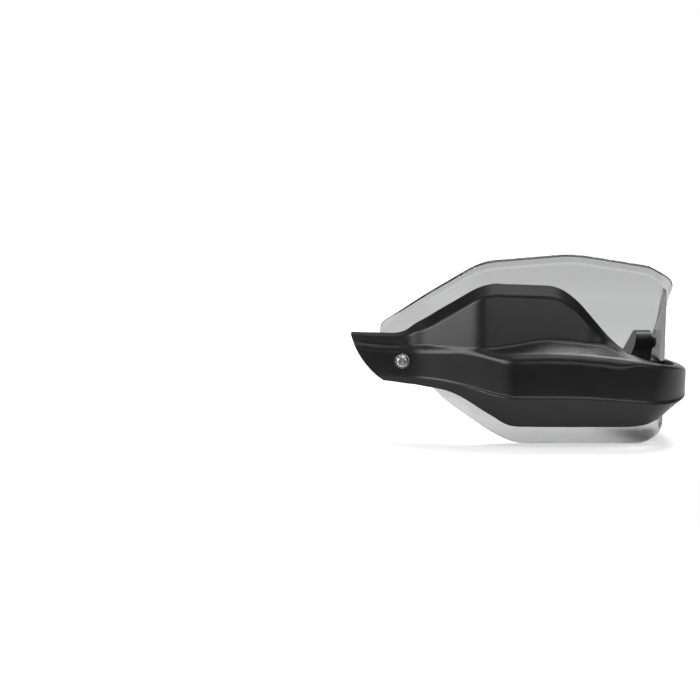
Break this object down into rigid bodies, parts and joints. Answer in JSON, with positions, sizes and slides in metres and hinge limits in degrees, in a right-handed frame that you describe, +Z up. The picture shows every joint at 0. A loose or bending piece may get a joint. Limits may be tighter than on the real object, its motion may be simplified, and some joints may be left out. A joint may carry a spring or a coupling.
{
  "type": "motorcycle hand guard",
  "caption": "Motorcycle hand guard: black moulded shell that wraps round the bar end, with a light-smoke clear wind deflector bolted behind it.",
  "frame": {"origin": "on the handlebar axis, at the inner face of the bracket that seats on the bar end", "axes": "+X outboard along the handlebar, -Y forward in the direction of travel, +Z up"},
  "size_m": [0.288, 0.12, 0.1626],
  "materials": {
    "black_plastic": "satin, fine moulded grain",
    "smoke_screen": "clear light-smoke plastic, polished",
    "bright_steel": "bright",
    "dark_steel": "black oxide",
    "rubber": "matt",
    "brass": "machined"
  },
  "bodies": {
    "root": {"guard_shell": "black_plastic", "wind_deflector": "smoke_screen", "lever_screw": "bright_steel", "lever_washer": "bright_steel", "lever_sleeve": "bright_steel", "lever_grommet": "rubber", "bar_end_bracket": "black_plastic", "bar_end_bush": "bright_steel", "bracket_screws": "dark_steel", "bracket_inserts": "brass", "deflector_screws": "dark_steel", "deflector_washers": "dark_steel", "deflector_pads": "rubber", "deflector_inserts": "brass"}
  },
  "joints": []
}
